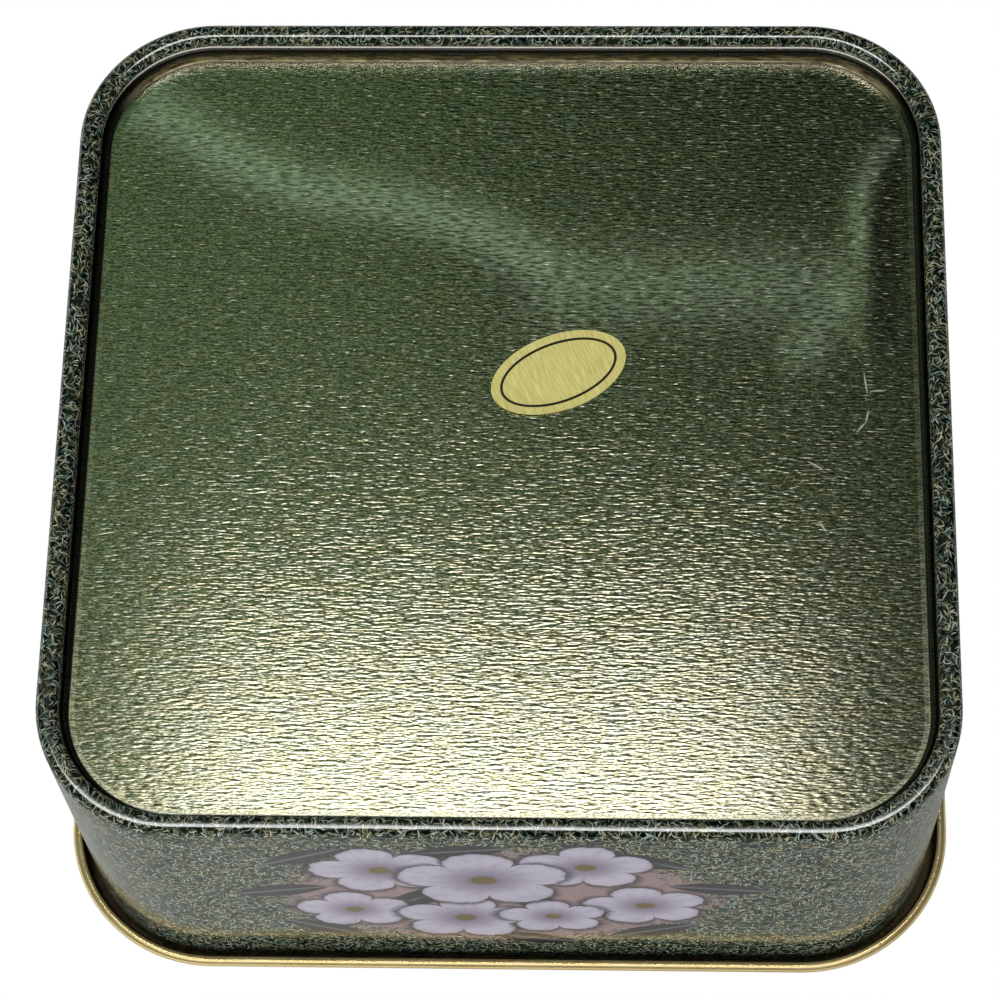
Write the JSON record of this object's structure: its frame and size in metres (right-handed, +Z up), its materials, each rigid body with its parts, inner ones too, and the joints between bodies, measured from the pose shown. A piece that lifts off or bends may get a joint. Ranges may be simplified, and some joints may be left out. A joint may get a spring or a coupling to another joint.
{
  "type": "tin box",
  "caption": "Square tinplate box with rounded corners, a recessed base held in a rolled hem, and a shallow slip lid with an outward curled edge; holds papers and keepsakes.",
  "frame": {"origin": "middle of the plane that the base hem rests on", "axes": "+Z up through the lid, the wall that carries the picture faces -Y, the wall's lock seam is at +Y"},
  "size_m": [0.1254, 0.1254, 0.058],
  "materials": {
    "printed_tinplate": "printed tinplate under gloss varnish",
    "gold_lacquer": "brushed tinplate under gold lacquer",
    "lid_tinplate": "printed tinplate under gloss varnish, gold lacquer inside and on the curl",
    "gold_foil": "brushed gold foil"
  },
  "bodies": {
    "box": {"body_wall": "printed_tinplate", "base_panel": "gold_lacquer", "foil_label": "gold_foil"},
    "lid": {"lid": "lid_tinplate"}
  },
  "joints": [
    {"name": "lid_lift", "type": "slide", "parent": "box", "child": "lid", "axis": [0, 0, 1], "range_m": [0, 0.06]}
  ]
}
